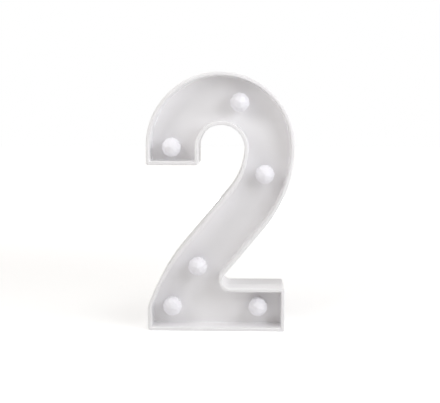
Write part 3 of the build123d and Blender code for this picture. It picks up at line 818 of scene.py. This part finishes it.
class MARQUEE_OT_contacts(bpy.types.Operator):
    """Gives the contact plates and their springs a nickel finish"""
    bl_idname = "marquee.contacts"
    bl_label = "Finish the contacts"

    def execute(self, context):
        nickel = context.scene.marquee_metals.nickel_colour
        # Nickel on pressed strip steel: bright, with the roll's faint lines
        strip = plated_steel("nickel_plated_strip", nickel, 0.35 * MM, 0.16, 0.34)
        for node in ("negative_contact", "positive_contact", "bridge_contact"):
            set_material(node, strip)
        # Nickel on drawn spring wire: brighter still
        wire = plated_steel("nickel_plated_wire", nickel, 0.2 * MM, 0.12, 0.26)
        for node in ("negative_spring", "bridge_spring"):
            set_material(node, wire)
        return {"FINISHED"}


class MARQUEE_OT_switch(bpy.types.Operator):
    """Gives the slide switch its tinned can, brown board, tags and dark knob"""
    bl_idname = "marquee.switch"
    bl_label = "Finish the switch"

    def execute(self, context):
        tin = context.scene.marquee_metals.tin_colour
        dark = context.scene.marquee_wiring.knob_colour
        # Tin on pressed steel: greyer and duller than nickel
        set_material("switch_can", plated_steel("tinned_can", tin, 0.5 * MM, 0.28, 0.48))
        set_material("switch_pins", plated_steel("tinned_tags", tin, 0.3 * MM, 0.22, 0.4))
        set_material("switch_base", phenolic_board("paper_phenolic"))
        # Acetal, moulded: near black, with a finer grain than the casing
        set_material("switch_knob", moulded_plastic("moulded_acetal_knob", dark, 0.3 * MM))
        return {"FINISHED"}


class MARQUEE_OT_screws(bpy.types.Operator):
    """Gives the screws a zinc finish"""
    bl_idname = "marquee.screws"
    bl_label = "Finish the screws"

    def execute(self, context):
        zinc_colour = context.scene.marquee_metals.zinc_colour
        # Zinc on cold headed steel: bluish grey, and duller than the nickel
        zinc = plated_steel("zinc_plated_screws", zinc_colour, 0.25 * MM, 0.26, 0.5)
        for node in ("cover_screws", "switch_screws"):
            set_material(node, zinc)
        return {"FINISHED"}


class MARQUEE_OT_wiring(bpy.types.Operator):
    """Gives the wires their red and black sleeves"""
    bl_idname = "marquee.wiring"
    bl_label = "Finish the wiring"

    def execute(self, context):
        wiring = context.scene.marquee_wiring
        red = soft_pvc("extruded_pvc_red", wiring.positive_colour)
        black = soft_pvc("extruded_pvc_black", wiring.negative_colour)
        for node in ("led_bus_positive", "battery_lead_positive", "switch_lead"):
            set_material(node, red)
        for node in ("led_bus_negative", "battery_lead_negative"):
            set_material(node, black)
        return {"FINISHED"}


class MARQUEE_OT_stage(bpy.types.Operator):
    """Sets the camera, the lamps and the floor"""
    bl_idname = "marquee.stage"
    bl_label = "Set the stage"

    def execute(self, context):
        stage = context.scene.marquee_stage
        scene = context.scene
        camera = bpy.data.objects.new("camera", bpy.data.cameras.new("camera"))
        scene.collection.objects.link(camera)
        camera.location = stage.camera_place
        camera.rotation_euler = stage.camera_turn
        camera.data.lens = stage.lens
        camera.data.clip_start = 10 * MM
        scene.camera = camera
        scene.view_settings.view_transform = "Standard"

        # The room lights the numeral softly, and looks plain white itself
        world = bpy.data.worlds.new("room")
        world.use_nodes = True
        tree = world.node_tree
        tree.nodes.clear()
        around = add_node(
            tree, "ShaderNodeBackground",
            inputs={"Color": tuple(stage.room_colour), "Strength": stage.room_light},
        )
        white = add_node(
            tree, "ShaderNodeBackground", inputs={"Color": (1, 1, 1, 1), "Strength": 1.0},
        )
        both = add_node(
            tree, "ShaderNodeMixShader",
            links={
                0: in_sight(tree),
                1: around.outputs["Background"], 2: white.outputs["Background"],
            },
        )
        add_node(tree, "ShaderNodeOutputWorld", links={"Surface": both.outputs["Shader"]})
        scene.world = world

        # Each lamp: its power, its degrees to the right of the front and above the level,
        # its distance and its width
        aim = (cad_low + cad_high) / 2
        for name, power, aside, above, away, width in (
            ("side_softbox", stage.side_power, 75.0, 15.0, 1000 * MM, 600 * MM),
            ("key_softbox", stage.key_power, 45.0, 25.0, 500 * MM, 300 * MM),
            ("fill_softbox", stage.fill_power, -50.0, 32.0, 500 * MM, 300 * MM),
            ("top_softbox", stage.top_power, 0.0, 75.0, 500 * MM, 300 * MM),
            ("back_softbox", stage.back_power, 180.0, 0.0, 1000 * MM, 200 * MM),
        ):
            side, lift = radians(aside), radians(above)
            way = Vector((sin(side) * cos(lift), -cos(side) * cos(lift), sin(lift)))
            light = bpy.data.lights.new(name, "AREA")
            light.shape = "DISK"
            light.size = width
            light.energy = power
            lamp = bpy.data.objects.new(name, light)
            lamp.location = aim + way * away
            lamp.rotation_euler = (-way).to_track_quat("-Z", "Y").to_euler()
            scene.collection.objects.link(lamp)
        bpy.data.lights["key_softbox"].color = stage.key_colour
        # It lights the back only: its shine would skim over the foot's top towards the camera
        bpy.data.objects["back_softbox"].visible_glossy = False

        half = stage.floor_size / 2
        form = bmesh.new()
        form.faces.new([
            form.verts.new((x * half, y * half, cad_low.z))
            for x, y in ((-1, -1), (1, -1), (1, 1), (-1, 1))
        ])
        floor = as_object(form, "floor")
        floor.data.materials.append(matt_paper("matt_white_sweep"))
        return {"FINISHED"}


class MARQUEE_PT_panel(bpy.types.Panel):
    """Sidebar panel with a button for each group of pieces"""
    bl_label = "Marquee number"
    bl_idname = "MARQUEE_PT_panel"
    bl_space_type = "VIEW_3D"
    bl_region_type = "UI"
    bl_category = "Marquee"

    def draw(self, context):
        for operator in OPERATORS:
            self.layout.operator(operator.bl_idname)


SETTINGS = {
    "marquee_casing": CasingSettings,
    "marquee_bulbs": BulbSettings,
    "marquee_batteries": BatterySettings,
    "marquee_metals": MetalSettings,
    "marquee_wiring": WiringSettings,
    "marquee_stage": StageSettings,
}
OPERATORS = (
    MARQUEE_OT_stage, MARQUEE_OT_casing, MARQUEE_OT_bulb_caps, MARQUEE_OT_diodes,
    MARQUEE_OT_cells, MARQUEE_OT_contacts, MARQUEE_OT_switch, MARQUEE_OT_screws,
    MARQUEE_OT_wiring,
)


def register():
    for settings in SETTINGS.values():
        bpy.utils.register_class(settings)
    for name, settings in SETTINGS.items():
        setattr(bpy.types.Scene, name, PointerProperty(type=settings))
    for operator in OPERATORS:
        bpy.utils.register_class(operator)
    bpy.utils.register_class(MARQUEE_PT_panel)


def unregister():
    bpy.utils.unregister_class(MARQUEE_PT_panel)
    for operator in reversed(OPERATORS):
        bpy.utils.unregister_class(operator)
    for name in SETTINGS:
        delattr(bpy.types.Scene, name)
    for settings in reversed(list(SETTINGS.values())):
        bpy.utils.unregister_class(settings)


def main():
    register()
    bpy.ops.marquee.stage()
    bpy.ops.marquee.casing()
    bpy.ops.marquee.bulb_caps()
    bpy.ops.marquee.diodes()
    bpy.ops.marquee.cells()
    bpy.ops.marquee.contacts()
    bpy.ops.marquee.switch()
    bpy.ops.marquee.screws()
    bpy.ops.marquee.wiring()


if __name__ == "__main__":
    main()
